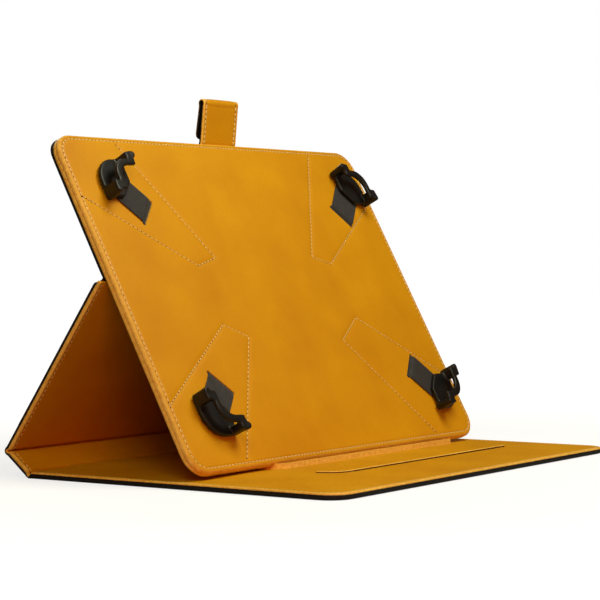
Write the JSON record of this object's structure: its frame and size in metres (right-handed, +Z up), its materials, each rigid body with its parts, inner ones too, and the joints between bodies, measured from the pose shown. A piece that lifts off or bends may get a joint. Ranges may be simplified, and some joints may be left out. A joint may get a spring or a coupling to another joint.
{
  "type": "tablet case",
  "caption": "Folding leather tablet case that stands open as an easel, with a padded holder, elastic corner grips, card slots and a folded closure strap.",
  "frame": {"origin": "middle of the case's footprint, on the table, while it stands as an easel", "axes": "+X along the folds, to the viewer's right when facing the tablet; -Y towards the front cover's free edge; +Z up"},
  "size_m": [0.3, 0.2288, 0.22],
  "materials": {
    "black_leather": "matt, fine pebble grain",
    "orange_leather": "satin, fine grain",
    "pocket_lining": "matt",
    "greyboard": "raw board",
    "pad_foam": "open foam",
    "grip_rubber": "satin moulded",
    "black_elastic": "woven ribs",
    "closure_steel": "plain",
    "cream_thread": "waxed thread"
  },
  "bodies": {
    "front_cover": {"front_outer_skin": "black_leather", "front_board": "greyboard", "front_lining": "orange_leather", "card_pocket_front": "pocket_lining", "card_pocket_rear": "pocket_lining", "closure_strike_plate": "closure_steel", "front_fold_bead": "black_leather"},
    "spine": {"spine_outer_skin": "black_leather", "spine_board": "greyboard", "spine_lining": "orange_leather"},
    "rear_lower": {"rear_fold_bead": "black_leather", "rear_lower_skin": "black_leather", "rear_lower_board": "greyboard", "rear_lower_lining": "orange_leather"},
    "holder": {"mid_fold_bead": "black_leather", "rear_upper_skin": "black_leather", "rear_upper_board": "greyboard", "strap_tongue": "black_leather", "holder_back_cover": "orange_leather", "holder_board": "greyboard", "holder_pad": "pad_foam", "holder_front_cover": "orange_leather", "elastic_anchors": "black_elastic"},
    "grip_ll": {"grip_lower_left": "grip_rubber", "elastic_lower_left": "black_elastic"},
    "grip_lr": {"grip_lower_right": "grip_rubber", "elastic_lower_right": "black_elastic"},
    "grip_ul": {"grip_upper_left": "grip_rubber", "elastic_upper_left": "black_elastic"},
    "grip_ur": {"grip_upper_right": "grip_rubber", "elastic_upper_right": "black_elastic"},
    "strap": {"strap_bead": "black_leather", "strap_outer_skin": "black_leather", "strap_core": "greyboard", "strap_lining": "orange_leather"},
    "strap_end": {"strap_top_bead": "orange_leather", "strap_end_skin": "black_leather", "strap_end_lining": "orange_leather", "strap_magnet": "closure_steel"}
  },
  "joints": [
    {"name": "front_fold", "type": "hinge", "parent": "front_cover", "child": "spine", "pos_m": [0, 0.0966, 0.0016], "axis": [-1, 0, 0], "range_deg": [0, 38.05]},
    {"name": "rear_fold", "type": "hinge", "parent": "spine", "child": "rear_lower", "pos_m": [0, 0.11315, 0.01453], "axis": [-1, 0, 0], "range_deg": [0, 87.7]},
    {"name": "middle_fold", "type": "hinge", "parent": "rear_lower", "child": "holder", "pos_m": [0, 0.04095, 0.11072], "axis": [-1, 0, 0], "range_deg": [-64.06, 0]},
    {"name": "strap_root", "type": "hinge", "parent": "holder", "child": "strap", "pos_m": [0.0135, 0.08614, 0.19229], "axis": [1, 0, 0], "range_deg": [-34, 56]},
    {"name": "strap_fold", "type": "hinge", "parent": "strap", "child": "strap_end", "pos_m": [0.0135, 0.08485, 0.2189], "axis": [1, 0, 0], "range_deg": [0, 176]},
    {"name": "grip_ll_slide", "type": "slide", "parent": "holder", "child": "grip_ll", "axis": [-0.7071, -0.3354, -0.6225], "range_m": [-0.014, 0.008], "stiffness_N_per_m": 150},
    {"name": "grip_lr_slide", "type": "slide", "parent": "holder", "child": "grip_lr", "axis": [0.7071, -0.3354, -0.6225], "range_m": [-0.014, 0.008], "stiffness_N_per_m": 150},
    {"name": "grip_ul_slide", "type": "slide", "parent": "holder", "child": "grip_ul", "axis": [-0.7071, 0.3354, 0.6225], "range_m": [-0.014, 0.008], "stiffness_N_per_m": 150},
    {"name": "grip_ur_slide", "type": "slide", "parent": "holder", "child": "grip_ur", "axis": [0.7071, 0.3354, 0.6225], "range_m": [-0.014, 0.008], "stiffness_N_per_m": 150}
  ],
  "couplings": [
    {"joint": "front_fold", "follows": "rear_fold", "ratio": 0.4333},
    {"joint": "middle_fold", "follows": "rear_fold", "ratio": -0.72992}
  ]
}
